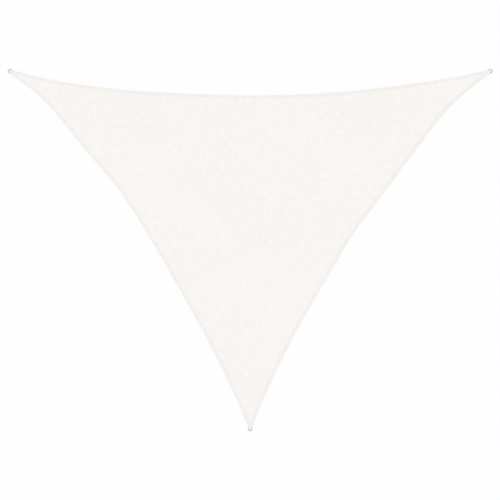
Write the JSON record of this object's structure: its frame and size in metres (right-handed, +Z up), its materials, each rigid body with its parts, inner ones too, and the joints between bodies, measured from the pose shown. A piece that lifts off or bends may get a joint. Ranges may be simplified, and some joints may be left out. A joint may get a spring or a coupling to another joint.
{
  "type": "shade sail",
  "caption": "Triangular shade sail of white knitted cloth with hollow, hemmed sides and a steel D-ring in a webbing tab at each corner, laid out flat.",
  "frame": {"origin": "on the ground, under the middle of the box round the sail and its rings", "axes": "+X along the long side, towards the right corner; +Y from the lower corner towards the long side; +Z up, out of the sail's face"},
  "size_m": [5.0368, 3.7629, 0.0088],
  "materials": {
    "knitted_cloth": "white knitted polyethylene shade cloth, matt",
    "webbing": "white woven polyester webbing, matt",
    "ring_steel": "polished stainless steel wire"
  },
  "bodies": {
    "root": {"sail_cloth": "knitted_cloth", "tab_left": "webbing", "tab_lower": "webbing", "tab_right": "webbing", "ring_left": "ring_steel", "ring_lower": "ring_steel", "ring_right": "ring_steel"}
  },
  "joints": []
}
